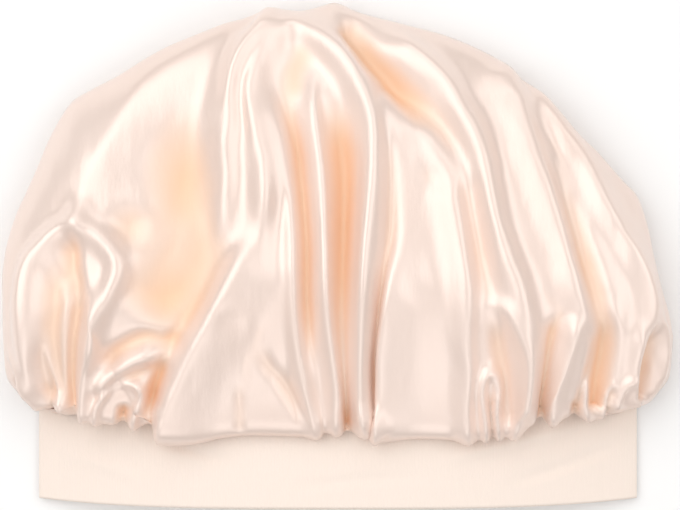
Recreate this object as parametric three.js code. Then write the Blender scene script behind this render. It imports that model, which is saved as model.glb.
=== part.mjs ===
// A satin sleep bonnet lying flat on a table: a wide gathered crown, folded in half along its outline,
// on a doubled knitted head band. Millimetres, +Z up from the table. The mouth for the head faces -Y,
// the top of the crown faces +Y, and the wearer's forehead side faces up.
import * as THREE from "three";

// Driving sizes
const LENGTH = 224; // mouth edge to the top of the crown
const BAND_WIDTH = 267; // the band's flat width, half of its way round
const BAND_HEIGHT = 43;
const BAND_WALL = 2.4; // doubled jersey
const BAND_RISE = 18; // how far the band's upper layer bows up from the table
const BAND_EDGE = 5; // height of the band's folded sides
const BAND_BOW = 3.2; // how far the corners of the mouth edge sit back from its middle
const CROWN_WALL = 1.5;
const CROWN_HEIGHT = 41; // the puffed crown above the table, between its folds
const CROWN_FOLD_EDGE = 9; // height of the outline, where the upper and lower halves meet
const LIP_HEIGHT = 27; // height of the nose of the puff that hangs over the band
const LIP_CLEARANCE = 1.2; // between the band's upper face and the puff above it
const SEAM_GAP = 0.4; // between the band and the crown sewn to it

const MOUTH_Y = -LENGTH / 2;
const SEAM_Y = MOUTH_Y + BAND_HEIGHT;

// The crown's outline from the right of the widest place, over the top, to the left: polar about
// (0, OUTLINE_Y), in degrees from +X.
const OUTLINE_Y = -36;
const OUTLINE = [
  { angle: 0, radius: 148.5 },
  { angle: 10, radius: 144.5 },
  { angle: 20, radius: 145.5 },
  { angle: 26, radius: 147 },
  { angle: 36, radius: 141 },
  { angle: 48, radius: 139.5 },
  { angle: 62, radius: 142 },
  { angle: 75, radius: 141 },
  { angle: 86, radius: 144 },
  { angle: 91, radius: 148 },
  { angle: 97, radius: 145 },
  { angle: 102, radius: 148.5 },
  { angle: 109, radius: 146.5 },
  { angle: 120, radius: 148 },
  { angle: 130, radius: 151 },
  { angle: 139, radius: 157.5 },
  { angle: 148, radius: 154 },
  { angle: 160, radius: 152.5 },
  { angle: 172, radius: 150 },
  { angle: 180, radius: 148.5 },
];

// The puffed sides, from the band's corner up to the outline's widest place.
const SIDE = [
  { inset: 16.5, y: SEAM_Y + 1.6 },
  { inset: 9, y: -65 },
  { inset: 2, y: -55 },
  { inset: 0, y: OUTLINE_Y },
];

// How far the puff hangs over the band, along the seam from left to right.
const OVERHANG = [
  { along: 0, by: 0 },
  { along: 0.07, by: 1 },
  { along: 0.16, by: 8 },
  { along: 0.25, by: 14 },
  { along: 0.36, by: 12 },
  { along: 0.6, by: 12.5 },
  { along: 0.72, by: 14 },
  { along: 0.8, by: 10 },
  { along: 0.88, by: 4 },
  { along: 1, by: 0 },
];

// The main folds, each a crest (height above 0) or a dent (below) along a curve through three points.
const FOLDS = [
  { name: "left shoulder", from: [-38, 101], via: [-87, 64], to: [-113, 20], halfWidth: 15, height: 4 },
  { name: "left of the arch", from: [-30, 104], via: [-47, 55], to: [-55, -15], halfWidth: 10, height: 3.5 },
  { name: "arch left leg", from: [-22, 92], via: [-31, 40], to: [-16, -72], halfWidth: 12, height: 6 },
  { name: "arch right leg", from: [-14, 92], via: [14, 45], to: [6, -72], halfWidth: 12, height: 6 },
  { name: "arch inside", from: [-18, 58], via: [-15, 0], to: [-10, -60], halfWidth: 12, height: -4 },
  { name: "deep valley", from: [-2, 66], via: [2, 10], to: [2, -66], halfWidth: 16, height: -8 },
  { name: "right of the arch", from: [18, 60], via: [20, -10], to: [17, -66], halfWidth: 12, height: -4 },
  { name: "long right crest", from: [18, 92], via: [58, 40], to: [84, -62], halfWidth: 14, height: 5 },
  { name: "right hollow", from: [36, 70], via: [50, 20], to: [56, -30], halfWidth: 12, height: -3.5 },
  { name: "right shoulder crest", from: [76, 80], via: [94, 25], to: [107, -30], halfWidth: 12, height: 4 },
  { name: "right shoulder valley", from: [82, 68], via: [104, 10], to: [113, -62], halfWidth: 12, height: -5 },
  { name: "right edge crest", from: [90, 62], via: [117, 8], to: [132, -40], halfWidth: 11, height: 3 },
  { name: "left cone edge", from: [-34, 4], via: [-56, -22], to: [-74, -72], halfWidth: 12, height: 4 },
  { name: "left hollow", from: [-100, 22], via: [-84, 8], to: [-72, 0], halfWidth: 16, height: -5 },
  { name: "left hook", from: [-96, 0], via: [-98, -28], to: [-108, -62], halfWidth: 12, height: 4 },
  { name: "left gather valley", from: [-112, -2], via: [-115, -30], to: [-118, -62], halfWidth: 12, height: -4 },
  { name: "right gather hollow", from: [68, -26], via: [72, -40], to: [74, -64], halfWidth: 12, height: -4 },
];

// Mesh density
const ACROSS = 50; // columns from the left corner to the right
const LIP_ROWS = 5; // rows under the hanging puff
const BODY_ROWS = 16; // rows from the puff's nose to the outline
const BAND_STEPS = 28; // columns of the band's upper and lower layers

const lerp = THREE.MathUtils.lerp;
const smooth = (x) => THREE.MathUtils.smoothstep(x, 0, 1);
// A quarter circle: 0 at an edge, 1 from the given distance inwards.
const rounded = (distance, radius) => Math.sqrt(1 - (1 - Math.min(distance / radius, 1)) ** 2);

// The value of a table's column at a place along its first column, smoothly between rows.
function lookUp(rows, key, column, at) {
  const i = Math.max(1, rows.findIndex((row) => row[key] >= at));
  const share = (at - rows[i - 1][key]) / (rows[i][key] - rows[i - 1][key]);
  return lerp(rows[i - 1][column], rows[i][column], smooth(share));
}

// Height of the band's outer face above the table, across its width.
function bandTop(x) {
  return BAND_EDGE + (BAND_RISE - BAND_EDGE) * (1 - Math.abs(x / (BAND_WIDTH / 2)) ** 3);
}

// The band's flattened loop seen from its mouth: the upper layer from left to right, then the lower one
// back. inset moves the loop inwards by a wall.
function bandLoop(steps, inset) {
  const half = BAND_WIDTH / 2 - inset;
  const loop = [];
  for (const upper of [true, false]) {
    for (let i = 0; i < steps; i += 1) {
      const turn = Math.PI * (upper ? i / steps : 1 - i / steps);
      const x = -half * Math.cos(turn);
      const away = Math.sin(turn) ** 0.5; // steep at the folded sides, then flat
      const middle = BAND_EDGE / 2;
      const z = upper ? lerp(middle, bandTop(x) - inset, away) : lerp(middle, inset, away);
      loop.push([x, z]);
    }
  }
  return loop;
}

const sideCurve = new THREE.SplineCurve(SIDE.map((row) => new THREE.Vector2(row.inset, row.y)));

const halfAcross = OUTLINE[0].radius;
// A point on the left (side -1) or right (side 1) edge, from the band's corner up.
function sidePoint(side, share) {
  const p = sideCurve.getPoint(share);
  return new THREE.Vector2(side * (halfAcross - p.x), p.y);
}

function outlinePoint(across) {
  const degrees = 180 * (1 - across);
  const radius = lookUp(OUTLINE, "angle", "radius", degrees);
  const angle = THREE.MathUtils.degToRad(degrees);
  return new THREE.Vector2(radius * Math.cos(angle), OUTLINE_Y + radius * Math.sin(angle));
}

// The near edge of a half of the crown: the puff's nose on the upper half, the seam on the lower.
function nearEdge(across, upper) {
  const corner = sidePoint(1, 0);
  const overhang = upper ? lookUp(OVERHANG, "along", "by", across) : 0;
  return new THREE.Vector2(lerp(-corner.x, corner.x, across), corner.y - overhang);
}

// A patch between the near edge, the sides and the outline (a Coons patch).
function plan(across, up, upper) {
  const near = nearEdge(across, upper);
  const far = outlinePoint(across);
  const left = sidePoint(-1, up);
  const right = sidePoint(1, up);
  const corners = [nearEdge(0, upper), nearEdge(1, upper), outlinePoint(0), outlinePoint(1)];
  const blend = (axis) =>
    lerp(near[axis], far[axis], up) +
    lerp(left[axis], right[axis], across) -
    lerp(lerp(corners[0][axis], corners[1][axis], across), lerp(corners[2][axis], corners[3][axis], across), up);
  return new THREE.Vector2(blend("x"), blend("y"));
}

const folds = FOLDS.map((fold) => {
  const [from, via, to] = [fold.from, fold.via, fold.to].map((p) => new THREE.Vector2(...p));
  const bend = via.clone().multiplyScalar(2).sub(from.clone().add(to).multiplyScalar(0.5));
  return { ...fold, points: new THREE.QuadraticBezierCurve(from, bend, to).getPoints(24) };
});

// Height that the folds add at a place, fading at each fold's ends and towards its sides.
function foldHeight(place) {
  let height = 0;
  for (const fold of folds) {
    let nearest = Infinity;
    let along = 0;
    fold.points.forEach((p, i) => {
      const distance = p.distanceTo(place);
      if (distance < nearest) {
        nearest = distance;
        along = i / (fold.points.length - 1);
      }
    });
    const across = Math.max(0, 1 - nearest / fold.halfWidth);
    height += fold.height * smooth(across) * Math.sin(Math.PI * lerp(0.12, 0.88, along)) ** 0.5;
  }
  return height;
}

// One point of the upper half: row 0 is sewn to the band, the lip rows run out over it to the nose of the
// puff, and the body rows run from there to the outline.
function upperPoint(across, row) {
  const nose = nearEdge(across, true);
  const seam = nearEdge(across, false);
  const bandZ = bandTop(seam.x);
  const puffed = smooth(Math.min(across, 1 - across) / 0.16);
  const noseZ = lerp(BAND_EDGE, LIP_HEIGHT, puffed);
  if (row <= LIP_ROWS) {
    const out = row / LIP_ROWS;
    const y = lerp(SEAM_Y + SEAM_GAP, nose.y, Math.sin((out * Math.PI) / 2) ** 1.5);
    const under = bandZ + LIP_CLEARANCE * smooth(Math.min(1, out * LIP_ROWS)) * 2 * puffed;
    const z = row === 0 ? bandZ : lerp(under, noseZ, out ** 3);
    return new THREE.Vector3(seam.x, y, z);
  }
  const up = ((row - LIP_ROWS) / BODY_ROWS) ** 1.15;
  const inward = 1 - (1 - up) ** 1.35;
  const place = plan(across, inward, true);
  const far = outlinePoint(across);
  const fromNear = place.distanceTo(nose);
  const fromFar = place.distanceTo(far);
  const fromSide = Math.min(place.distanceTo(sidePoint(-1, inward)), place.distanceTo(sidePoint(1, inward)));
  const edgeZ = lerp(noseZ, CROWN_FOLD_EDGE, smooth(inward * 1.5));
  const dome = CROWN_HEIGHT - 8 * smooth(inward) ** 2;
  const away = rounded(fromFar, 62) * rounded(fromSide, 44) * rounded(fromNear, 26);
  const z = edgeZ + (dome - edgeZ) * away + foldHeight(place) * away ** 0.7;
  return new THREE.Vector3(place.x, place.y, z);
}

// One point of the lower half, flat on the table but for its rounded edge.
function lowerPoint(across, row) {
  const seam = nearEdge(across, false);
  if (row <= LIP_ROWS) {
    return new THREE.Vector3(seam.x, lerp(SEAM_Y + SEAM_GAP, seam.y, row / LIP_ROWS), 0);
  }
  const up = (row - LIP_ROWS) / BODY_ROWS;
  const inward = 1 - (1 - up) ** 1.35;
  const place = plan(across, inward, false);
  const fromFar = place.distanceTo(outlinePoint(across));
  const fromSide = Math.min(place.distanceTo(sidePoint(-1, inward)), place.distanceTo(sidePoint(1, inward)));
  const away = rounded(fromFar, 10) * rounded(fromSide, 10);
  return new THREE.Vector3(place.x, place.y, CROWN_FOLD_EDGE * (1 - away));
}

// Height of the side edges, from the band's folded corner up to the outline.
function edgeHeight(row) {
  return lerp(BAND_EDGE / 2, CROWN_FOLD_EDGE, smooth(row / (LIP_ROWS + BODY_ROWS * 0.3)));
}

// The crown's outer face: rings of points from the mouth to the outline, each across the upper half and
// back across the lower one. The last ring is a line, which both halves share.
function crownRings() {
  const rows = LIP_ROWS + BODY_ROWS;
  const rings = [];
  for (let row = 0; row <= rows; row += 1) {
    const ring = [];
    for (let i = 0; i <= ACROSS; i += 1) {
      const p = upperPoint(i / ACROSS, row);
      if (i === 0 || i === ACROSS || row === rows) p.z = edgeHeight(row);
      ring.push(p);
    }
    for (let i = ACROSS - 1; i > 0; i -= 1) {
      ring.push(row === rows ? ring[i] : lowerPoint(i / ACROSS, row));
    }
    rings.push(ring);
  }
  return rings;
}

// Joins rings of points into triangles, with the same turning sense all over.
function stitch(triangles, rings, flip) {
  for (let r = 0; r + 1 < rings.length; r += 1) {
    const count = rings[r].length;
    for (let i = 0; i < count; i += 1) {
      const [a, b] = [rings[r][i], rings[r][(i + 1) % count]];
      const [c, d] = [rings[r + 1][i], rings[r + 1][(i + 1) % count]];
      const quad = flip ? [[a, c, b], [b, c, d]] : [[a, b, c], [b, d, c]];
      triangles.push(...quad.filter(([p, q, s]) => p !== q && q !== s && s !== p));
    }
  }
}

// Average outward direction of the surface at each point, from its triangles.
function directions(triangles) {
  const sums = new Map();
  const [u, v] = [new THREE.Vector3(), new THREE.Vector3()];
  for (const [a, b, c] of triangles) {
    const normal = u.subVectors(b, a).cross(v.subVectors(c, a)).clone();
    for (const p of [a, b, c]) sums.set(p, (sums.get(p) ?? new THREE.Vector3()).add(normal));
  }
  sums.forEach((sum) => sum.normalize());
  return sums;
}

function geometryOf(triangles) {
  const numbers = triangles.flatMap((triangle) => triangle.flatMap((p) => [p.x, p.y, p.z]));
  const geometry = new THREE.BufferGeometry();
  geometry.setAttribute("position", new THREE.Float32BufferAttribute(numbers, 3));
  geometry.computeVertexNormals();
  return geometry;
}

// The crown: one cloth wall, open at the mouth.
function crownGeometry() {
  const outer = crownRings();
  const triangles = [];
  stitch(triangles, outer, false);
  const outward = directions(triangles);
  const moved = new Map();
  outer.forEach((ring, row) =>
    ring.forEach((p) => {
      const direction = outward.get(p);
      if (row === 0) direction.setY(0).normalize();
      if (!moved.has(p)) moved.set(p, p.clone().addScaledVector(direction, -CROWN_WALL));
    }),
  );
  const inner = outer.map((ring) => ring.map((p) => moved.get(p)));
  stitch(triangles, inner, true);
  stitch(triangles, [inner[0], outer[0]], false);
  return geometryOf(triangles);
}

// The band: a flattened tube of doubled jersey, its mouth edge bowed a little.
function bandGeometry() {
  const ringAt = (inset, share) =>
    bandLoop(BAND_STEPS, inset).map(([x, z]) => {
      const bow = BAND_BOW * (x / (BAND_WIDTH / 2)) ** 4 * (1 - share);
      return new THREE.Vector3(x, lerp(MOUTH_Y + bow, SEAM_Y, share), z);
    });
  const outer = [0, 0.5, 1].map((share) => ringAt(0, share));
  const inner = [0, 0.5, 1].map((share) => ringAt(BAND_WALL, share));
  const triangles = [];
  stitch(triangles, outer, false);
  stitch(triangles, inner, true);
  stitch(triangles, [inner[0], outer[0]], false);
  stitch(triangles, [outer[2], inner[2]], false);
  return geometryOf(triangles);
}

const satin = new THREE.MeshStandardMaterial({ color: 0xf9dccb, roughness: 0.32, metalness: 0 });
const jersey = new THREE.MeshStandardMaterial({ color: 0xfbebde, roughness: 0.85, metalness: 0 });

function piece(name, geometry, material) {
  const mesh = new THREE.Mesh(geometry, material);
  mesh.name = name;
  return mesh;
}

const bonnet = new THREE.Group();
bonnet.add(piece("crown", crownGeometry(), satin));
bonnet.add(piece("band", bandGeometry(), jersey));

export default bonnet;
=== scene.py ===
import math

import bmesh
import bpy
import numpy as np
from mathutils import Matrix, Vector


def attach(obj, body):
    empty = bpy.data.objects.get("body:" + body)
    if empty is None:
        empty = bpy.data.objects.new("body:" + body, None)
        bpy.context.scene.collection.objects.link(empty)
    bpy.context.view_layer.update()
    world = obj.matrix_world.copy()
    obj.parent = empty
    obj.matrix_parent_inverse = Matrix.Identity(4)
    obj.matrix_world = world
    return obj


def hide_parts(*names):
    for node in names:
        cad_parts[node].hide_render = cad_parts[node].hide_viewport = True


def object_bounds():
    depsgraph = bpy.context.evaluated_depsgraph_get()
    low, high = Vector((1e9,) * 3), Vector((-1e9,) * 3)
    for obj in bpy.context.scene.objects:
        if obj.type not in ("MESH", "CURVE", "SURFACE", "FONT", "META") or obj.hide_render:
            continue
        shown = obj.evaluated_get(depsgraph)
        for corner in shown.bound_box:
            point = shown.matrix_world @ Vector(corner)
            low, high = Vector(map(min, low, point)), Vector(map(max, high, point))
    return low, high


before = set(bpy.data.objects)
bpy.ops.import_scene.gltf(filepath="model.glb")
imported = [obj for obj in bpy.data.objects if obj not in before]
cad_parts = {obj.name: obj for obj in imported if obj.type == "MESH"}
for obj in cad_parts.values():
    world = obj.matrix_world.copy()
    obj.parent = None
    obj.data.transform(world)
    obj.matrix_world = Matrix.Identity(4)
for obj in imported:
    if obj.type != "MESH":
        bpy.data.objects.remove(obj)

# A satin sleep bonnet lying flat: a gathered crown on a band of doubled jersey. Plan sizes below are in
# millimetres from the frame's origin, for the bonnet's own size, and toFrame scales them to the frame.
cadBounds = [list(corner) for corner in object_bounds()]
mm = 0.001
bonnet = {"width": 297.3, "length": 223.6}  # the size that the plan tables are drawn for
frameSpan = [high - low for low, high in zip(*cadBounds)]
toFrame = (frameSpan[0] / mm / bonnet["width"] + frameSpan[1] / mm / bonnet["length"]) / 2
curveSteps = {"span": 16, "table": 400, "outline": 700, "side": 200, "fold": 48}  # points on each curve
print("frame loaded, plan scale", round(toFrame, 4))


def lerp(a, b, share):
    return a + (b - a) * share


def smoothStep(x):
    x = np.clip(x, 0, 1)
    return x * x * (3 - 2 * x)


def rounded(distance, radius):  # a quarter circle: 0 at an edge, 1 from radius inwards
    return np.sqrt(1 - (1 - np.clip(distance / radius, 0, 1)) ** 2)


def curveThrough(points, count):  # even steps along a smooth curve through given points
    knots = np.array(points, float)
    ends = np.vstack([2 * knots[0] - knots[1], knots, 2 * knots[-1] - knots[-2]])
    share = np.linspace(0, 1, curveSteps["span"], endpoint=False)[:, None]
    pieces = []
    for a, b, c, d in zip(ends, ends[1:], ends[2:], ends[3:]):
        bend = (2 * a - 5 * b + 4 * c - d) * share ** 2 + (3 * b - a - 3 * c + d) * share ** 3
        pieces.append(0.5 * (2 * b + (c - a) * share + bend))
    dense = np.vstack(pieces + [knots[-1:]])
    run = np.concatenate([[0], np.cumsum(np.linalg.norm(np.diff(dense, axis=0), axis=1))])
    stops = np.linspace(0, run[-1], count)
    return np.column_stack([np.interp(stops, run, dense[:, k]) for k in range(knots.shape[1])])


def valueAt(rows, x):  # a smooth line through a short table of (x, value)
    line = curveThrough(rows, curveSteps["table"])
    return np.interp(x, line[:, 0], line[:, 1])


def makeMesh(name, points, faces, uvs=None):
    mesh = bpy.data.meshes.new(name)
    mesh.from_pydata([tuple(p) for p in points], [], faces)
    mesh.validate()
    mesh.polygons.foreach_set("use_smooth", [True] * len(mesh.polygons))
    if uvs is not None:
        layer = mesh.uv_layers.new(name="cloth")
        corners = np.empty(len(mesh.loops), dtype=np.int32)
        mesh.loops.foreach_get("vertex_index", corners)
        layer.data.foreach_set("uv", np.asarray(uvs, float)[corners].ravel())
    piece = bpy.data.objects.new(name, mesh)
    bpy.context.collection.objects.link(piece)
    return piece


def fold(path, rise, west, east, fade=(0.2, 0.2), peak=0.6, lean=0.0, spread=(1.0, 1.0)):
    # path runs from the top of the crown to the band, or round the arch, and west and east are the half
    # widths to the right and left of someone who walks it; rise is the crest's height, or less than 0 for
    # a valley; fade is the share of each end that dies out; peak goes from 0, round, to 1, sharp; lean
    # pushes the crest sideways; spread widens or narrows the fold at its start and its end
    return dict(path=path, rise=rise, west=west, east=east, fade=fade, peak=peak, lean=lean, spread=spread)


# the band: a flattened loop of doubled jersey
band = {
    "width": 267.0,
    "mouthY": -111.8,
    "seamY": -66.0,
    "wall": 2.4,
    "edge": 5.0,        # height of its folded sides
    "rise": 18.0,       # height of the upper layer's middle
    "archPower": 3,     # how far the upper layer stays high before it falls to the sides
    "sideRound": 0.5,   # roundness of the folded sides
    "bow": 3.4,         # how far the mouth's corners sit back
    "bowPower": 4,
    "columns": 150,
    "rows": 34,
    "creases": [
        fold([(-83, -80), (-64, -86), (-45, -93)], -1.0, 4, 4, fade=(0.3, 0.3), peak=0.4),
        fold([(40, -92), (76, -83), (112, -75)], 0.9, 5, 6, fade=(0.3, 0.3), peak=0.4),
        fold([(71, -103), (102, -93), (130, -83)], -0.9, 4, 5, fade=(0.3, 0.3), peak=0.4),
        fold([(-30, -104), (10, -99), (48, -98)], -0.5, 4, 4, fade=(0.4, 0.4), peak=0.3),
        fold([(-126, -88), (-104, -93), (-80, -103)], 0.6, 5, 5, fade=(0.4, 0.4), peak=0.3),
    ],
}


def bandTop(x):
    middle = 1 - np.abs(np.clip(x / (band["width"] / 2), -1, 1)) ** band["archPower"]
    return band["edge"] + (band["rise"] - band["edge"]) * middle


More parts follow.
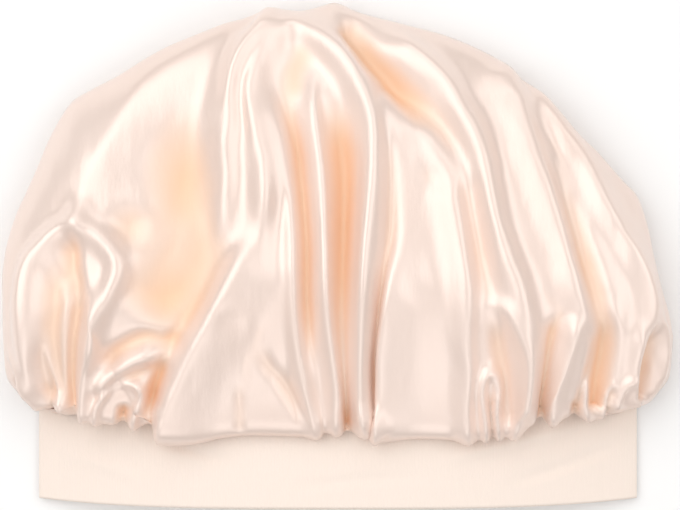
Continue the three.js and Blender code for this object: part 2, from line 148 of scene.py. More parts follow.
crown = {
    "columns": 300,
    "bunching": 0.2,       # how much closer the columns stand in the middle
    "lipRows": 12,         # under the hanging puff
    "bodyRows": 124,
    "rowPowers": (1.1, 1.25),
    "underRows": 12,
    "underPower": 1.6,
    "wall": 0.5,
    "height": 41.0,
    "drop": 8.0,           # how much lower the top of the crown is than its middle
    "noseHeight": 21.5,
    "noseTop": 27.0,       # the cloth just behind the nose
    "noseRadius": 8.0,
    "climb": 75.0,         # how far the cloth takes from there to its full height
    "farRadius": 60.0,
    "sideRadius": 42.0,
    "underRadii": (12.0, 10.0),  # of the lower layer, at the outline and at the sides
    "foldEdge": 9.0,       # height of the outline
    "rimClimb": 1.5,       # the sides reach that height at 1 / rimClimb of their length
    "cornerHeight": 3.0,   # where the puff meets the band's folded sides
    "cornerShare": 0.14,   # of the width, where the puff grows from each corner
    "gap": 1.0,            # between band and puff
    "tuck": 1.2,           # how far the lip starts behind the seam
    "lipCurve": (1.3, 4, 3),     # how the lip runs out, leaves the band and turns up
    "lipHold": (0.5, 0.6, 5),    # share of the folds under the lip, at the nose and rows to the full folds
    "rimHold": (0.25, 20.0),     # share of the folds at the outline, and how far to the full folds
    "sideHold": 0.02,      # of the width, where the folds die out at the sides
    "softening": 9,        # passes that round the crests
    "crisp": (0.2, 15.0, 40.0),  # their strength by the band, and where it starts and how far it grows
    "deep": 8.0,           # a valley this deep has the fullest painted bounce light
    "clothUv": (0.8, 0.4, 0.3),  # metres of cloth across, up the upper layer and along the lower one
    "fine": {              # shallow wrinkles between the main folds
        "seed": 11,
        "count": 90,
        "x": (-130, 130),
        "y": (-55, 85),
        "top": (-12, 125),     # they run from about here towards the band
        "topSway": 20,
        "halfLength": (9, 24),
        "sway": 0.25,
        "rise": (0.25, 0.8),
        "halfWidth": (2.5, 7),
        "fade": 0.5,
        "peak": 0.3,
    },
    "outline": [       # right of the widest place, over the top, to the left
        (148.7, -36), (147, -26), (143, -13), (140, 0), (137.5, 13), (133, 26), (126.5, 33), (115, 46),
        (107, 53), (95.5, 66), (81, 79), (72.5, 86), (60, 92.5), (46, 98), (27, 103), (10, 107.5),
        (2, 111), (-2, 112), (-6.5, 110.8), (-16.5, 108), (-23, 108.5), (-29, 110), (-34, 108),
        (-47, 103), (-60, 98), (-74, 92.5), (-84.5, 87), (-97, 79.5), (-110, 73), (-119, 67),
        (-127.5, 53), (-133, 40), (-139, 26.5), (-142.5, 19), (-146.5, 6.5), (-148.7, -7),
        (-148.7, -20), (-148.7, -36),
    ],
    "side": [(16.5, -67.4), (10, -66), (4.8, -59.5), (1.3, -53), (0, -36)],  # inset and y
    "hem": [           # x and how far the puff hangs over the band
        (-132, 0), (-126, 2), (-120, 3.6), (-114, 4), (-106, 6), (-98, 7.5), (-89, 8), (-84, 7),
        (-79, 12), (-63, 15),
        (-50, 13), (-38, 12), (-10, 12.5), (-7, 10.5), (3, 12), (10, 10), (15, 8.5), (19, 12.5), (40, 13.5),
        (58, 14), (72, 12.5), (79, 12), (84, 8), (87, 5.5), (92, 6), (100, 4), (112, 5), (118, 3.5),
        (125, 2.5), (132, 0),
    ],
    "folds": [
        # left of the arch
        fold([(-29, 109), (-31, 98), (-40, 85), (-45, 75), (-48, 55), (-49, 30), (-51, 11), (-56, -14)],
             7, 22, 10, fade=(0.02, 0.35), peak=0.35, spread=(0.35, 1.3)),
        fold([(-27, 98), (-37, 84), (-41, 72), (-40, 58), (-36, 42)], -4, 5, 4, fade=(0.2, 0.4)),
        # the arch: one outer crest, up its left leg, over and down its right; east is its outside
        fold([(-34, -8), (-32, 9), (-30, 23), (-31, 41), (-35, 57), (-38, 71), (-35, 83), (-29, 93),
              (-22, 98), (-14, 96), (-6, 91), (1, 84), (7, 74), (12, 63), (14, 48), (13, 30), (10, 5),
              (8, -11), (5, -36), (5, -60), (9, -72), (14, -82)], 9, 8, 15, fade=(0.12, 0.0), peak=0.45,
             lean=0.8),
        fold([(-9, -84), (-14, -60), (-17, -36), (-18, -11), (-19, 12), (-21, 30), (-25, 52), (-31, 68),
              (-31, 79), (-26, 85), (-18, 88), (-10, 85), (-6, 78)], 4.5, 6, 7, fade=(0.0, 0.3), peak=0.4),
        fold([(-27, 80), (-22, 62), (-18, 48), (-16, 30), (-14, 5), (-14, -20), (-12, -55)],
             -8, 5, 5, fade=(0.28, 0.25), peak=0.2),
        fold([(-10, 84), (-11, 70), (-9, 50), (-7, 34), (-6, 7), (-5, -20), (-2, -45), (2, -83)],
             6, 10, 4, fade=(0.14, 0.0), peak=0.7, lean=1.2, spread=(0.9, 0.75)),
        fold([(-3, 72), (1, 52), (3, 34), (3, 11), (3, -11), (3, -44), (4, -83)],
             -10, 9, 8, fade=(0.2, 0.0), peak=0.15, spread=(1.1, 0.6)),
        fold([(15, 72), (20, 55), (22, 39), (22, 7), (19, -11), (17, -44), (17, -72)],
             -5, 5, 5, fade=(0.2, 0.05)),
        fold([(25, 12), (23, -11), (20, -36), (19, -60), (19, -83)], 5, 3.5, 18, fade=(0.35, 0.0), lean=-3),
        # right of the arch
        fold([(1, 105), (6, 96), (13, 86), (21, 79), (30, 70), (37, 60), (44, 50)],
             -7.5, 8, 8.5, fade=(0.12, 0.35), peak=0.1),
        fold([(15, 64), (18, 72), (24, 73), (31, 64)], -2.5, 4, 4, fade=(0.3, 0.3), peak=0.4),
        fold([(35, 66), (40, 53), (48, 43), (52, 35), (51, 26), (54, 7), (56, -15), (56, -36), (57, -50),
              (56, -70), (58, -84)], 5, 15, 8, fade=(0.25, 0.0), peak=0.45, spread=(1.1, 0.55)),
        fold([(35, 40), (40, 34), (49, 26)], -1.5, 5, 5, fade=(0.4, 0.4)),
        fold([(17, 102), (25, 95), (33, 88), (40, 82), (47, 74), (53, 63), (58, 55), (62, 43), (67, 18),
              (73, -2), (77, -11), (82, -31), (84, -44), (83, -58), (81, -76)],
             7, 18, 13, fade=(0.1, 0.05), peak=0.45, spread=(0.75, 0.7)),
        fold([(24, 84), (38, 72), (46, 56), (56, 30), (62, 0), (68, -30)], -4, 9, 8, fade=(0.3, 0.3),
             peak=0.3),
        fold([(71, 87), (78, 68), (84, 46), (93, 24), (100, 7), (104, -7), (110, -23), (112, -31),
              (110, -37), (108, -48), (102, -71)], 5.5, 14, 8, fade=(0.05, 0.35), peak=0.45),
        fold([(80, 82), (86, 68), (95, 48), (101, 33)], -2.2, 2.5, 3.5, fade=(0.1, 0.4)),
        fold([(89, 51), (97, 26), (104, 4), (111, -20), (115, -37), (113.5, -54), (112, -72)],
             -8, 8, 10, fade=(0.5, 0.05), peak=0.2, spread=(0.8, 0.8)),
        fold([(82, 80), (93, 60), (106, 42), (116, 20), (126, 3), (133, -13), (135, -29), (131, -50)],
             6, 8, 12, fade=(0.1, 0.2)),
        # gathers at the lower right: a hooded pocket, a small finger, a leaf, a loop and the corner puff
        fold([(67, -24), (70, -42), (74, -59), (76, -76)], -4, 6, 6, fade=(0.3, 0.15), peak=0.2),
        fold([(60, -22), (70, -22), (77, -32), (82, -45), (82, -62), (78, -74), (76, -84)],
             4, 4, 5, fade=(0.2, 0.0)),
        fold([(65, -82), (64, -72), (62.5, -60), (64, -52), (68, -52), (70, -58), (69, -70), (71, -84)],
             4.5, 3, 3, fade=(0.0, 0.0), peak=0.4),
        fold([(66, -58), (67, -70), (68, -82)], -3, 2, 2, fade=(0.3, 0.0)),
        fold([(97, -22), (92.5, -34), (90.5, -46), (89.5, -60), (89, -74)], -7, 3.5, 3.5,
             fade=(0.25, 0.0), peak=0.4),
        fold([(102, -24), (100, -38), (96.5, -52), (93.5, -64), (93, -76)], 5, 3.5, 8, fade=(0.15, 0.0),
             peak=0.45),
        fold([(104, -26), (110, -36), (109, -47), (106, -60), (104, -73)], -4, 3, 3, fade=(0.3, 0.0)),
        fold([(107, -50), (108.5, -62), (110, -71), (114, -74), (117, -70), (118.5, -60), (123, -54)],
             3.5, 3, 3, fade=(0.2, 0.2)),
        fold([(103, -62), (104, -75)], -4, 2.5, 2.5, fade=(0.3, 0.0)),
        fold([(121, -56), (119, -64), (118, -74)], -4, 2.5, 2.5, fade=(0.3, 0.0)),
        fold([(130, -52), (125, -57), (121, -68)], 3, 3, 3, fade=(0.3, 0.1)),
        fold([(131, -26), (130, -42), (129, -56), (131, -67)], 4.5, 5, 4, fade=(0.3, 0.05)),
        fold([(139, -28), (136, -46), (133, -64)], -6, 4.5, 4.5, fade=(0.3, 0.05), peak=0.3),
        fold([(136, -27), (142, -32), (144, -42), (142, -54), (136, -66)], 3, 3, 4, fade=(0.2, 0.2)),
        # left half: the ridge from the shoulder parts into two, with a hollow between them
        fold([(-39, 104), (-61, 90), (-83, 75), (-98, 51), (-109, 31), (-113, 15)],
             5, 26, 24, fade=(0.1, 0.25)),
        fold([(-113, 30), (-113, 16), (-123, 8), (-133, -3), (-136, -17), (-136, -31), (-135, -46),
              (-131, -68)], 6, 8, 9, fade=(0.25, 0.12), peak=0.25),
        fold([(-113, 30), (-112, 14), (-103, 8), (-96, 0), (-94.5, -8), (-98, -16), (-103, -26),
              (-106, -36), (-107, -46), (-105, -52)], 6, 8, 7, fade=(0.25, 0.15), peak=0.35),
        fold([(-120, 11), (-116, 3), (-114, -8), (-113, -22)], -5.5, 8, 6, fade=(0.25, 0.45), peak=0.1),
        fold([(-107, -8), (-106, -20), (-107, -31), (-109, -45), (-111, -58), (-112, -74)],
             4.5, 3.5, 6, fade=(0.3, 0.0)),
        fold([(-112, -6), (-113, -24), (-115, -38), (-116.5, -56), (-116, -74)],
             -6, 4.5, 4.5, fade=(0.3, 0.15), peak=0.4, spread=(1.3, 0.6)),
        fold([(-121, 2), (-123, -20), (-125, -42), (-124, -66)], -5, 9, 9, fade=(0.3, 0.1), peak=0.2),
        fold([(-128, -30), (-126, -47), (-121, -68)], 3.5, 3, 3.5, fade=(0.4, 0.0)),
        fold([(-130, -34), (-130, -50), (-126, -70)], -3, 2.5, 2.5, fade=(0.4, 0.0)),
        fold([(-146, -40), (-140, -48), (-134, -61), (-131, -69)], 3.5, 3.5, 3.5, fade=(0.2, 0.1)),
        fold([(-143, -52), (-139, -60), (-135, -67)], -3, 2.5, 2.5, fade=(0.3, 0.1)),
        fold([(-88, 24), (-90, 10), (-95, 2)], -4, 12, 13, fade=(0.45, 0.45), peak=0.2),
        fold([(-70, 68), (-62, 34), (-61, 8), (-70, -14), (-84, -33)], -8, 26, 20, fade=(0.35, 0.15),
             peak=0.0),
        fold([(-68, 24), (-67, 2), (-72, -18)], 2.5, 12, 12, fade=(0.4, 0.4), peak=0.0),
        fold([(-66, -34), (-74, -37), (-84, -36), (-94, -41), (-104, -49)], -6, 5, 6, fade=(0.2, 0.2),
             peak=0.5),
        fold([(-76, -42), (-88, -45), (-100, -53), (-107, -62)], 5, 6, 6, fade=(0.25, 0.2)),
        fold([(-74, -46), (-88, -53), (-96, -56), (-103, -62)], -4, 3.5, 3.5, fade=(0.3, 0.2)),
        fold([(-73, -46), (-79, -57), (-82, -70), (-82, -80)], -6, 5, 4.5, fade=(0.25, 0.0), peak=0.4),
        fold([(-106, -76), (-105, -66), (-99, -58.5), (-92.5, -55.5), (-87, -57), (-85, -61.5), (-87, -67),
              (-90, -73), (-88, -80)], 4.5, 3, 3, fade=(0.0, 0.0), peak=0.5),
        fold([(-93, -64), (-94, -71), (-95, -79)], -7, 4, 4, fade=(0.3, 0.0), peak=0.4),
        fold([(-76, -64), (-81, -69), (-87, -77)], 3, 3, 3, fade=(0.3, 0.0)),
        # the cone at the left of the middle
        fold([(-32, 13), (-38, 2), (-45, -10), (-52, -21), (-59, -34), (-66, -48), (-72, -62), (-79, -84)],
             6.5, 9, 24, fade=(0.2, 0.0), peak=0.3, lean=-0.8),
        fold([(-52, -6), (-59, -20), (-69, -36), (-77, -52), (-83, -68)], -3.5, 6, 5, fade=(0.3, 0.1),
             peak=0.3),
        fold([(-38, -38), (-23, -57), (-14, -71), (-10, -82)], -2.5, 6, 6, fade=(0.3, 0.1), peak=0.5),
        fold([(-54, -26), (-46, -28), (-38, -28)], -1.5, 6, 6, fade=(0.4, 0.4), peak=0.2),
        fold([(-43, -54), (-43, -78)], -1.5, 4, 4, fade=(0.4, 0.1), peak=0.5),
    ],
    "paintedBounce": [          # painted bounce light: warmer colour, as a share of the deepest valley's, where the cloth lies in a wide dip
        fold([(-64, 94), (-73, 68), (-67, 36), (-63, 8), (-72, -14)], 0.12, 24, 18, fade=(0.35, 0.3),
             peak=0.0),
        fold([(-12, 95), (-17, 84), (-19, 76), (-17, 64)], 0.6, 8, 8, fade=(0.3, 0.3), peak=0.0),
        fold([(8, 98), (18, 84), (32, 72)], 0.3, 9, 8, fade=(0.3, 0.4), peak=0.0),
    ],
}


def outlinePoint(across):  # polar about the widest line's middle, from left (0) to right (1)
    centre = np.array([0, crown["outline"][0][1]])
    line = curveThrough(crown["outline"], curveSteps["outline"]) - centre
    angles = np.arctan2(line[:, 1], line[:, 0])
    turn = np.pi * (1 - across)
    radius = np.interp(turn, angles, np.hypot(line[:, 0], line[:, 1]))
    return np.stack([radius * np.cos(turn), centre[1] + radius * np.sin(turn)], -1)


def sidePoint(hand, up):
    line = curveThrough(crown["side"], curveSteps["side"])
    run = np.linspace(0, 1, len(line))
    inset = np.interp(up, run, line[:, 0])
    y = np.interp(up, run, line[:, 1])
    return np.stack([hand * (crown["outline"][0][0] - inset), y], -1)


def nearEdge(across, upper):
    corner = sidePoint(1, np.array(0.0))
    x = lerp(-corner[0], corner[0], across)
    hang = valueAt(crown["hem"], x) if upper else 0 * x
    return np.stack([x, corner[1] - hang], -1)


def plan(across, up, upper):  # the patch between the near edge, both sides and the outline
    across, up = np.broadcast_arrays(across, up)
    a = across[..., None]
    u = up[..., None]
    rows = lerp(nearEdge(across, upper), outlinePoint(across), u)
    sides = lerp(sidePoint(-1, up), sidePoint(1, up), a)
    nearEnds = lerp(nearEdge(np.array(0.0), upper), nearEdge(np.array(1.0), upper), a)
    farEnds = lerp(outlinePoint(np.array(0.0)), outlinePoint(np.array(1.0)), a)
    return rows + sides - lerp(nearEnds, farEnds, u)


def foldOffsets(place, folds):
    # height along the cloth's normal, and the sideways lean of every crest
    height = np.zeros(len(place))
    lean = np.zeros_like(place)
    for item in folds:
        path = curveThrough(item["path"], curveSteps["fold"])
        start = path[:-1]
        run = np.diff(path, axis=0)
        size = np.einsum("ij,ij->i", run, run)
        reach = max(item["west"], item["east"]) * max(item["spread"])
        inside = np.all((place > path.min(0) - reach) & (place < path.max(0) + reach), axis=1)
        near = np.flatnonzero(inside)
        offset = place[near][:, None] - start[None]
        share = np.clip(np.einsum("ijk,jk->ij", offset, run) / size, 0, 1)
        offset = offset - share[..., None] * run[None]
        distance = np.linalg.norm(offset, axis=2)
        best = distance.argmin(axis=1)
        pick = np.arange(len(near)), best
        along = (best + share[pick]) / len(run)
        normal = np.stack([-run[best, 1], run[best, 0]], -1) / np.sqrt(size[best])[:, None]
        eastward = np.einsum("ij,ij->i", offset[pick], normal) > 0
        width = np.where(eastward, item["east"], item["west"]) * lerp(*item["spread"], along)
        t = np.clip(distance[pick] / width, 0, 1)
        form = lerp((1 - t * t) ** 2, (1 - t) ** 2, item["peak"])
        ends = [max(f, 1e-6) for f in item["fade"]]
        form = form * smoothStep(along / ends[0]) * smoothStep((1 - along) / ends[1])
        height[near] += item["rise"] * form
        lean[near] += item["lean"] * form[:, None] * normal
    return height, lean


def fineFolds(fine):
    draw = np.random.default_rng(fine["seed"])
    made = []
    for _ in range(fine["count"]):
        start = np.array([draw.uniform(*fine["x"]), draw.uniform(*fine["y"])])
        topX, topY = fine["top"]
        away = start - np.array([topX, topY + draw.uniform(-fine["topSway"], fine["topSway"])])
        along = away / np.linalg.norm(away) * draw.uniform(*fine["halfLength"])
        sway = np.array([-along[1], along[0]]) * draw.uniform(-fine["sway"], fine["sway"])
        path = [start - along, start + sway, start + along]
        rise = draw.choice([-1, 1]) * draw.uniform(*fine["rise"])
        west = draw.uniform(*fine["halfWidth"])
        east = draw.uniform(*fine["halfWidth"])
        made.append(fold(path, rise, west, east, fade=(fine["fade"], fine["fade"]), peak=fine["peak"]))
    return made


def soften(points, share):  # rounds the folds' crests by each point's share, keeping the grid's borders
    pull = 0.5 * share[1:-1, 1:-1, None]
    for _ in range(crown["softening"]):
        inner = points[1:-1, 1:-1]
        around = points[:-2, 1:-1] + points[2:, 1:-1] + points[1:-1, :-2] + points[1:-1, 2:]
        points[1:-1, 1:-1] = inner + pull * (around / 4 - inner)
    return points


def gridNormals(points):
    normal = np.cross(np.gradient(points, axis=1), np.gradient(points, axis=0))
    return normal / np.maximum(np.linalg.norm(normal, axis=-1, keepdims=True), 1e-9)


def bodyShares():  # how far up each of the body's rows lies, denser towards both ends
    near, far = crown["rowPowers"]
    up = (np.arange(crown["bodyRows"] + 1) / crown["bodyRows"]) ** near
    return 1 - (1 - up) ** far


def underShare(row):  # how far up each of the lower layer's rows lies, counted from the outline
    return 1 - (row / crown["underRows"]) ** crown["underPower"]


def rimHeight(up, start):  # height of the crown's outer edge, from the seam to the outline
    return lerp(start, crown["foldEdge"], smoothStep(up * crown["rimClimb"]))


def lipPoints(seam, nose, noseZ, puffed):  # the rows that run out under the hanging puff
    runOut, leave, turnUp = crown["lipCurve"]
    bandZ = bandTop(seam[:, 0])
    rows = []
    for row in range(crown["lipRows"]):
        out = row / crown["lipRows"]
        y = lerp(seam[:, 1] - crown["tuck"], nose[:, 1], math.sin(out * math.pi / 2) ** runOut)
        under = bandZ + crown["gap"] * min(1, out * leave) * puffed
        rows.append(np.stack([seam[:, 0], y, lerp(under, noseZ, out ** turnUp)], -1))
    return np.array(rows)


def foldHold(across, fromFar):  # share of the folds' height that each point of the upper layer takes
    underLip, atNose, noseRows = crown["lipHold"]
    atRim, rimRun = crown["rimHold"]
    lipRows = crown["lipRows"]
    hold = np.ones((lipRows + fromFar.shape[0], len(across)))
    hold[:lipRows] = (np.arange(lipRows) / lipRows)[:, None] ** 2 * underLip
    blend = np.minimum(1, atNose + (1 - atNose) * np.arange(fromFar.shape[0]) / noseRows)
    hold[lipRows:] = blend[:, None] * (atRim + (1 - atRim) * rounded(fromFar, rimRun))
    return hold * smoothStep(np.minimum(across, 1 - across) / crown["sideHold"])[None]


def crownUpper(across):
    # rows under the lip, then the body's rows from the nose of the puff to the outline
    seam = nearEdge(across, False)
    nose = nearEdge(across, True)
    puffed = smoothStep(np.minimum(across, 1 - across) / crown["cornerShare"])
    noseZ = lerp(crown["cornerHeight"], crown["noseHeight"], puffed)
    lip = lipPoints(seam, nose, noseZ, puffed)
    inward = bodyShares()
    place = plan(across[None, :], inward[:, None], True)
    fromNear = np.linalg.norm(place - nose[None], axis=-1)
    fromFar = np.linalg.norm(place - outlinePoint(across)[None], axis=-1)
    left = np.linalg.norm(place - sidePoint(-1, inward)[:, None], axis=-1)
    right = np.linalg.norm(place - sidePoint(1, inward)[:, None], axis=-1)
    edgeZ = rimHeight(inward[:, None], noseZ[None])
    dome = crown["height"] - crown["drop"] * smoothStep(inward)[:, None] ** 2
    dome = lerp(crown["noseTop"], dome, smoothStep(fromNear / crown["climb"]))
    away = rounded(fromFar, crown["farRadius"]) * rounded(np.minimum(left, right), crown["sideRadius"])
    away = away * rounded(fromNear, crown["noseRadius"])
    body = np.concatenate([place, (edgeZ + (dome - edgeZ) * away)[..., None]], -1)
    points = np.concatenate([lip, body])
    # the folds fade out under the lip and where the cloth turns under at the outline
    hold = foldHold(across, fromFar)
    flat = points[..., :2].reshape(-1, 2)
    height, lean = foldOffsets(flat, crown["folds"] + fineFolds(crown["fine"]))
    height = height.reshape(hold.shape) * hold
    points = points + gridNormals(points) * height[..., None]
    points[..., :2] += lean.reshape(hold.shape + (2,)) * hold[..., None]
    crisp, crispRun, crispFade = crown["crisp"]  # the gathers by the band stay crisper than the open crown
    share = np.full(hold.shape, crisp)
    share[crown["lipRows"] :] = lerp(crisp, 1.0, smoothStep((fromNear - crispRun) / crispFade))
    # painted bounce light: a mask for a warmer colour, from each valley's depth and from the wide dips
    paintedBounce = foldOffsets(flat, crown["paintedBounce"])[0].reshape(hold.shape)
    return soften(points, share), np.clip(paintedBounce - height / crown["deep"], 0, 1)


def crownUnder(across):  # flat on the table but for its rounded edge
    atOutline, atSides = crown["underRadii"]
    rows = []
    for row in range(1, crown["underRows"] + 1):
        up = underShare(row)
        place = plan(across, np.full_like(across, up), False)
        far = np.linalg.norm(place - outlinePoint(across), axis=-1)
        left = np.linalg.norm(place - sidePoint(-1, np.array(up)), axis=-1)
        right = np.linalg.norm(place - sidePoint(1, np.array(up)), axis=-1)
        away = rounded(far, atOutline) * rounded(np.minimum(left, right), atSides)
        z = lerp(rimHeight(up, crown["cornerHeight"]), crown["wall"], away)
        rows.append(np.concatenate([place, z[:, None]], -1))
    return np.array(rows)


def sideRows(rowCount):  # the upper layer's row that lies beside each of the lower layer's, at the sides
    inward = bodyShares()
    rows = [rowCount - 1]
    for row in range(1, crown["underRows"]):
        rows.append(crown["lipRows"] + int(np.abs(inward - underShare(row)).argmin()))
    return rows + [0]


def sideFan(previous, chain, current):  # closes the side between one strip of the lower layer and the upper
    fan = [(high, low, current) for high, low in zip(chain, chain[1:])]
    if previous != chain[0]:
        fan.append((previous, chain[0], current))
    return fan


def clothThickness(piece, wall):
    solid = piece.modifiers.new("cloth thickness", "SOLIDIFY")
    solid.thickness = wall
    solid.offset = -1


def faceOutwards(mesh):
    sewn = bmesh.new()
    sewn.from_mesh(mesh)
    bmesh.ops.recalc_face_normals(sewn, faces=sewn.faces)
    sewn.to_mesh(mesh)
    sewn.free()


def makeCrown():
    step = np.arange(crown["columns"] + 1) / crown["columns"]
    across = step + crown["bunching"] * np.sin(2 * math.pi * step) / (2 * math.pi)
    upper, depth = crownUpper(across)
    under = crownUnder(across)
    clothAcross, clothUp, clothBack = crown["clothUv"]
    rowCount = upper.shape[0]
    columnCount = len(across)
    points = list(upper.reshape(-1, 3))
    uvs = [(c * clothAcross, r * clothUp) for r in np.linspace(0, 1, rowCount) for c in step]
    faces = []
    for r in range(rowCount - 1):
        for c in range(columnCount - 1):
            a = r * columnCount + c
            faces.append((a, a + 1, a + columnCount + 1, a + columnCount))
    # the lower layer's rows run from the outline back to the seam, joined to the upper side columns
    beside = sideRows(rowCount)
    previous = [(rowCount - 1) * columnCount + c for c in range(columnCount)]
    for row in range(crown["underRows"]):
        base = len(points)
        points.extend(under[row])
        uvs.extend((c * clothAcross, clothUp + clothBack * (row + 1) / crown["underRows"]) for c in step)
        current = [base + c for c in range(columnCount)]
        for c in range(columnCount - 1):
            faces.append((previous[c + 1], previous[c], current[c], current[c + 1]))
        for edge, flip in ((0, False), (columnCount - 1, True)):
            chain = [r * columnCount + edge for r in range(beside[row], beside[row + 1] - 1, -1)]
            fan = sideFan(previous[edge], chain, current[edge])
            faces.extend(face[::-1] if flip else face for face in fan)
        previous = current
    piece = makeMesh("crown_satin", np.array(points) * toFrame * mm, faces, uvs)
    faceOutwards(piece.data)
    # the mask of painted bounce light, which also sets the roughness
    layer = piece.data.attributes.new("paintedBounceDepth", "FLOAT", "POINT")
    values = np.zeros(len(points))
    values[: depth.size] = depth.ravel()
    layer.data.foreach_set("value", values)
    clothThickness(piece, crown["wall"] * mm)
    return piece


def bandRing(loop, share, depth):  # one ring of the band: share goes from the mouth to the seam
    inset = band["wall"] * depth
    half = band["width"] / 2 - inset
    middle = band["edge"] / 2
    ring = []
    for turn, upper in loop:
        x = -half * math.cos(turn)
        z = lerp(middle, float(bandTop(x)) - inset if upper else inset, math.sin(turn) ** band["sideRound"])
        bow = band["bow"] * (x / (band["width"] / 2)) ** band["bowPower"] * (1 - share)
        ring.append((x, lerp(band["mouthY"] + bow, band["seamY"], share), z))
    return ring


def makeBand():
    loop = []
    for upper in (True, False):
        for i in range(band["columns"]):
            turn = math.pi * (i / band["columns"] if upper else 1 - i / band["columns"])
            loop.append((turn, upper))
    steps = [j / band["rows"] for j in range(band["rows"] + 1)]
    rings = [bandRing(loop, share, 0.0) for share in steps]
    rings += [bandRing(loop, 1 - share, 1.0) for share in steps]
    points = np.array([p for ring in rings for p in ring])
    count = len(loop)
    total = len(rings)
    creased, _ = foldOffsets(points[:, :2], band["creases"])
    points[:, 2] += creased * np.tile([upper for _, upper in loop], total)
    faces = []
    for r in range(total):
        for i in range(count):
            here = r * count
            above = (r + 1) % total * count
            beside = (i + 1) % count
            faces.append((here + i, here + beside, above + beside, above + i))
    uvs = [(i / count, r / total) for r in range(total) for i in range(count)]
    return makeMesh("band_jersey", points * toFrame * mm, faces, uvs)


def nodeMaterial(name, values):
    material = bpy.data.materials.new(name)
    material.use_nodes = True
    tree = material.node_tree
    shader = tree.nodes["Principled BSDF"]
    for socket, value in values.items():
        shader.inputs[socket].default_value = value
    return material, tree.nodes, tree.links, shader


def addNode(nodes, kind, values):
    node = nodes.new("ShaderNode" + kind)
    for socket, value in values.items():
        node.inputs[socket].default_value = value
    return node


satin = {
    "shine": {
        "Metallic": 0.19,
        "Specular IOR Level": 1.0,
        "Anisotropic": 0.35,
        "Sheen Weight": 0.12,
        "Sheen Roughness": 0.4,
    },
    "dye": [(0.35, (0.898, 0.720, 0.630, 1)), (0.65, (0.913, 0.745, 0.660, 1))],  # soft variation of tint
    "dyeNoise": {"Scale": 14},
    # painted bounce light: the warm colour deep in the valleys
    "paintedBounceColor": (0.91, 0.61, 0.41, 1),
    "roughness": (0.32, 0.65),  # on the open cloth, and deep in a valley
    "crinkleStretch": {"Scale": (3, 1, 1)},
    "crinkle": {"Scale": 55, "Detail": 3},
    "crinkleBump": {"Strength": 0.25, "Distance": 0.0012},
    "weave": {"Scale": 900, "Distortion": 1.5},
    "weaveBump": {"Strength": 0.06, "Distance": 0.0001},
}


def satinMaterial():
    material, nodes, links, shader = nodeMaterial("blush satin", satin["shine"])
    coordinates = nodes.new("ShaderNodeTexCoord")
    tint = addNode(nodes, "TexNoise", satin["dyeNoise"])
    ramp = nodes.new("ShaderNodeValToRGB")
    for element, (place, color) in zip(ramp.color_ramp.elements, satin["dye"]):
        element.position = place
        element.color = color
    links.new(coordinates.outputs["Object"], tint.inputs["Vector"])
    links.new(tint.outputs["Fac"], ramp.inputs["Fac"])
    # painted bounce light: the cloth is coloured warmer where it lies deep between folds, and it shines
    # less there
    depth = nodes.new("ShaderNodeAttribute")
    depth.attribute_name = "paintedBounceDepth"
    paintedBounceMix = nodes.new("ShaderNodeMix")
    paintedBounceMix.data_type = "RGBA"
    paintedBounceMix.inputs["B"].default_value = satin["paintedBounceColor"]
    links.new(depth.outputs["Fac"], paintedBounceMix.inputs["Factor"])
    links.new(ramp.outputs["Color"], paintedBounceMix.inputs["A"])
    links.new(paintedBounceMix.outputs["Result"], shader.inputs["Base Color"])
    openCloth, deepCloth = satin["roughness"]
    dull = addNode(nodes, "MapRange", {"To Min": openCloth, "To Max": deepCloth})
    links.new(depth.outputs["Fac"], dull.inputs["Value"])
    links.new(dull.outputs["Result"], shader.inputs["Roughness"])
    # crinkles run up the cloth, and the weave lies over them
    stretch = addNode(nodes, "Mapping", satin["crinkleStretch"])
    crinkle = addNode(nodes, "TexNoise", satin["crinkle"])
    bump = addNode(nodes, "Bump", satin["crinkleBump"])
    links.new(coordinates.outputs["Object"], stretch.inputs["Vector"])
    links.new(stretch.outputs["Vector"], crinkle.inputs["Vector"])
    links.new(crinkle.outputs["Fac"], bump.inputs["Height"])
    weave = addNode(nodes, "TexWave", satin["weave"])
    fine = addNode(nodes, "Bump", satin["weaveBump"])
    links.new(coordinates.outputs["UV"], weave.inputs["Vector"])
    links.new(weave.outputs["Fac"], fine.inputs["Height"])
    links.new(bump.outputs["Normal"], fine.inputs["Normal"])
    links.new(fine.outputs["Normal"], shader.inputs["Normal"])
    return material


jersey = {
    "finish": {
        "Base Color": (0.915, 0.790, 0.702, 1),
        "Roughness": 0.8,
        "Specular IOR Level": 0.25,
        "Sheen Weight": 0.25,
    },
    "wales": {"Scale": 260, "Distortion": 2},
    "walesBump": {"Strength": 0.2, "Distance": 0.0003},
}


def jerseyMaterial():
    material, nodes, links, shader = nodeMaterial("blush jersey", jersey["finish"])
    coordinates = nodes.new("ShaderNodeTexCoord")
    wales = addNode(nodes, "TexWave", jersey["wales"])
    bump = addNode(nodes, "Bump", jersey["walesBump"])
    links.new(coordinates.outputs["Object"], wales.inputs["Vector"])
    links.new(wales.outputs["Fac"], bump.inputs["Height"])
    links.new(bump.outputs["Normal"], shader.inputs["Normal"])
    return material


# the table, the light and the camera
studio = {
    "floorSize": 6.0,
    "paper": {"Base Color": (0.93, 0.92, 0.91, 1), "Roughness": 0.9},
    "ambient": 1.0,
    # the room's brightness by height, from level (0) to overhead (1): bright walls, a darker ceiling
    "walls": [(0.0, 0.12), (0.35, 0.46), (0.75, 0.68), (1.0, 0.4)],
    "lensMm": 120.0,
    "viewWidth": 0.2992,   # what the camera takes in at viewHeight
    "viewHeight": 0.018,
    "viewX": 0.0009,
    "lights": [            # place, size and power of each soft light
        {"name": "left", "at": (-0.70, 0.32, 1.08), "size": 1.45, "power": 8.3},
        {"name": "right", "at": (0.95, 0.15, 1.0), "size": 1.3, "power": 4.4},
        {"name": "top", "at": (0.1, 1.2, 1.1), "size": 1.1, "power": 2.7},
        {"name": "front", "at": (0.0, -1.1, 1.2), "size": 1.2, "power": 3},
    ],
}


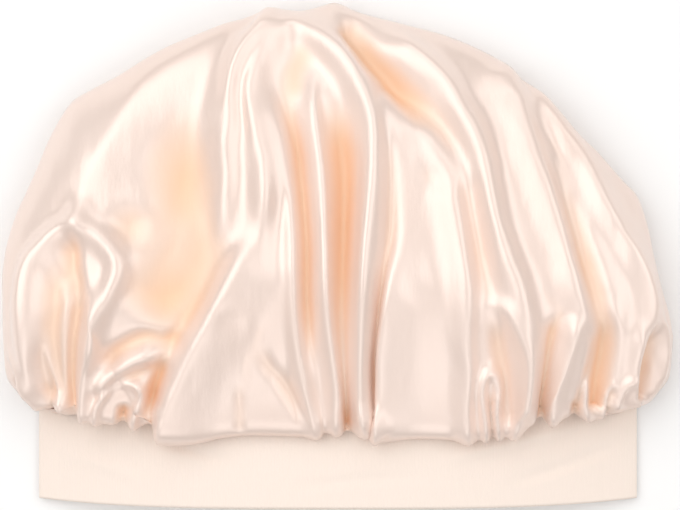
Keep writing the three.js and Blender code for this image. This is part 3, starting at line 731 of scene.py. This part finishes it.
def makeRoom(scene):
    world = bpy.data.worlds.new("studio")
    scene.world = world
    world.use_nodes = True
    nodes = world.node_tree.nodes
    links = world.node_tree.links
    background = nodes["Background"]
    background.inputs["Strength"].default_value = studio["ambient"]
    direction = nodes.new("ShaderNodeTexCoord")
    parts = nodes.new("ShaderNodeSeparateXYZ")
    ramp = nodes.new("ShaderNodeValToRGB")
    ramp.color_ramp.interpolation = "EASE"
    for _ in studio["walls"][2:]:
        ramp.color_ramp.elements.new(0.5)
    for element, (height, value) in zip(ramp.color_ramp.elements, studio["walls"]):
        element.position = height
        element.color = (value, value, value, 1)
    links.new(direction.outputs["Generated"], parts.inputs["Vector"])
    links.new(parts.outputs["Z"], ramp.inputs["Fac"])
    links.new(ramp.outputs["Color"], background.inputs["Color"])


def makeFloor():
    half = studio["floorSize"] / 2
    corners = [(-half, -half, 0), (half, -half, 0), (half, half, 0), (-half, half, 0)]
    floor = makeMesh("floor", corners, [(0, 1, 2, 3)])
    floor.data.materials.append(nodeMaterial("floor paper", studio["paper"])[0])


def makeLights():
    centre = [(low + high) / 2 for low, high in zip(*cadBounds)]
    for spec in studio["lights"]:
        light = bpy.data.lights.new(spec["name"], "AREA")
        light.shape = "DISK"
        light.size = spec["size"]
        light.energy = spec["power"]
        lamp = bpy.data.objects.new(spec["name"] + " light", light)
        lamp.location = spec["at"]
        aim = np.array(centre) - np.array(spec["at"])
        lamp.rotation_mode = "QUATERNION"
        lamp.rotation_quaternion = Vector(aim).to_track_quat("-Z", "Y")
        bpy.context.collection.objects.link(lamp)


def makeCamera(scene):  # straight above the bonnet, looking down
    view = bpy.data.cameras.new("camera")
    view.lens = studio["lensMm"]
    camera = bpy.data.objects.new("camera", view)
    distance = studio["viewWidth"] * view.lens / view.sensor_width
    camera.location = (studio["viewX"], 0.0, studio["viewHeight"] + distance)
    bpy.context.collection.objects.link(camera)
    scene.camera = camera


scene = bpy.context.scene
scene.view_settings.view_transform = "Standard"
makeRoom(scene)
makeFloor()
makeLights()
makeCamera(scene)
print("studio ready")

crownPiece = makeCrown()
crownPiece.data.materials.append(satinMaterial())
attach(crownPiece, "root")
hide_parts("crown")
print("crown ready", len(crownPiece.data.polygons), "faces")

bandPiece = makeBand()
bandPiece.data.materials.append(jerseyMaterial())
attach(bandPiece, "root")
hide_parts("band")
print("band ready", len(bandPiece.data.polygons), "faces")
